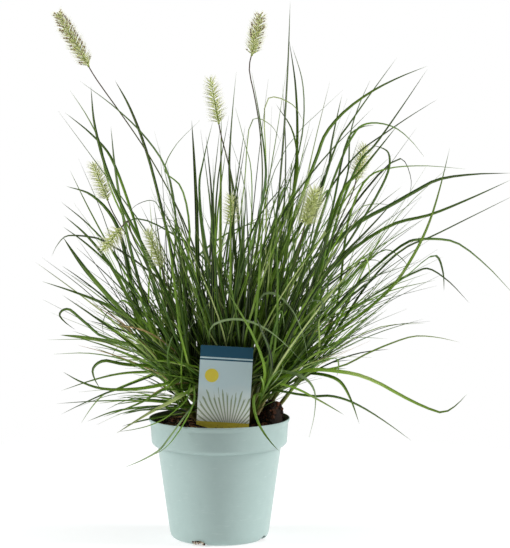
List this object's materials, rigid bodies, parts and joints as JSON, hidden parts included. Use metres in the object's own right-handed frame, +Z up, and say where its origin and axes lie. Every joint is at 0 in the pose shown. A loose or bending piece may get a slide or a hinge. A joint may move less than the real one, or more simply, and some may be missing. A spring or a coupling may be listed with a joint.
{
  "type": "potted dwarf fountain grass",
  "caption": "Clump of arching fountain grass with bottlebrush flower heads, in a round nursery pot of soil with a plant label",
  "frame": {"origin": "centre of the flat underside of the pot, on the surface that it stands on", "axes": "+Z up along the pot's axis, -Y towards the front, where the label stands, +X to the right as seen from there"},
  "size_m": [0.5781, 0.4795, 0.645],
  "materials": {
    "pot_plastic": "satin",
    "potting_soil": "matte",
    "label_card": "satin",
    "grass_leaf": "satin",
    "flower_bristle": "matte"
  },
  "bodies": {
    "root": {"pot": "pot_plastic", "soil": "potting_soil", "plant_label": "label_card", "leafy_shoot_01": "grass_leaf", "leafy_shoot_02": "grass_leaf", "leafy_shoot_03": "grass_leaf", "leafy_shoot_04": "grass_leaf", "leafy_shoot_05": "grass_leaf", "leafy_shoot_06": "grass_leaf", "leafy_shoot_07": "grass_leaf", "leafy_shoot_08": "grass_leaf", "leafy_shoot_09": "grass_leaf", "leafy_shoot_10": "grass_leaf", "leafy_shoot_11": "grass_leaf", "leafy_shoot_12": "grass_leaf", "leafy_shoot_13": "grass_leaf", "leafy_shoot_14": "grass_leaf", "leafy_shoot_15": "grass_leaf", "leafy_shoot_16": "grass_leaf", "leafy_shoot_17": "grass_leaf", "leafy_shoot_18": "grass_leaf", "leafy_shoot_19": "grass_leaf", "leafy_shoot_20": "grass_leaf", "leafy_shoot_21": "grass_leaf", "leafy_shoot_22": "grass_leaf", "leafy_shoot_23": "grass_leaf", "leafy_shoot_24": "grass_leaf", "leafy_shoot_25": "grass_leaf", "leafy_shoot_26": "grass_leaf", "leafy_shoot_27": "grass_leaf", "leafy_shoot_28": "grass_leaf", "leafy_shoot_29": "grass_leaf", "leafy_shoot_30": "grass_leaf", "leafy_shoot_31": "grass_leaf", "leafy_shoot_32": "grass_leaf", "leafy_shoot_33": "grass_leaf", "leafy_shoot_34": "grass_leaf", "leafy_shoot_35": "grass_leaf", "leafy_shoot_36": "grass_leaf", "leafy_shoot_37": "grass_leaf", "leafy_shoot_38": "grass_leaf", "flower_head_01": "flower_bristle", "flower_head_02": "flower_bristle", "flower_head_03": "flower_bristle", "flower_head_04": "flower_bristle", "flower_head_05": "flower_bristle", "flower_head_06": "flower_bristle", "flower_head_07": "flower_bristle", "flower_head_08": "flower_bristle", "flower_head_09": "flower_bristle"}
  },
  "joints": []
}
